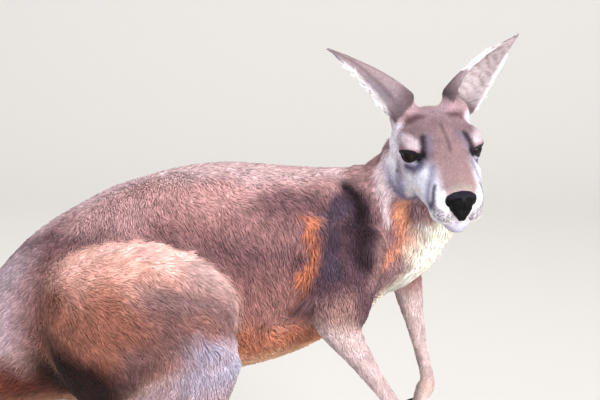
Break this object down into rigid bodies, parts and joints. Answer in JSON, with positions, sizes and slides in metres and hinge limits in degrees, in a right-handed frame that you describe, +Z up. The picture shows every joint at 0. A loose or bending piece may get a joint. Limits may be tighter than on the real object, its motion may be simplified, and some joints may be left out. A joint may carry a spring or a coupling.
{
  "type": "kangaroo",
  "caption": "Life-size still model of a standing red kangaroo, head turned to its right, with fur, long ears, claws and a resting tail.",
  "frame": {"origin": "on the floor, under the centre of the whole model's box", "axes": "+X the way the trunk faces, +Y to the animal's left, +Z up"},
  "size_m": [1.411, 0.3788, 0.7057],
  "materials": {
    "fur": "short dense coat, matt",
    "claw_horn": "dark polished horn",
    "eye_gloss": "wet gloss",
    "nose_leather": "damp fine-grained skin"
  },
  "bodies": {
    "root": {"chest": "fur", "claw_fifth_left": "claw_horn", "claw_fifth_right": "claw_horn", "claw_finger_1_left": "claw_horn", "claw_finger_1_right": "claw_horn", "claw_finger_2_left": "claw_horn", "claw_finger_2_right": "claw_horn", "claw_finger_3_left": "claw_horn", "claw_finger_3_right": "claw_horn", "claw_finger_4_left": "claw_horn", "claw_finger_4_right": "claw_horn", "claw_finger_5_left": "claw_horn", "claw_finger_5_right": "claw_horn", "claw_fourth_left": "claw_horn", "claw_fourth_right": "claw_horn", "claw_pair_1_left": "claw_horn", "claw_pair_1_right": "claw_horn", "claw_pair_2_left": "claw_horn", "claw_pair_2_right": "claw_horn", "ear_left": "fur", "ear_right": "fur", "eye_left": "eye_gloss", "eye_right": "eye_gloss", "foot_left": "fur", "foot_right": "fur", "forearm_left": "fur", "forearm_right": "fur", "hand_left": "fur", "hand_right": "fur", "head": "fur", "loins": "fur", "neck": "fur", "nose": "nose_leather", "shank_left": "fur", "shank_right": "fur", "tail_base": "fur", "tail_middle": "fur", "tail_tip": "fur", "thigh_left": "fur", "thigh_right": "fur", "toe_fifth_left": "fur", "toe_fifth_right": "fur", "toe_fourth_left": "fur", "toe_fourth_right": "fur", "toe_pair_left": "fur", "toe_pair_right": "fur", "upper_arm_left": "fur", "upper_arm_right": "fur"}
  },
  "joints": []
}
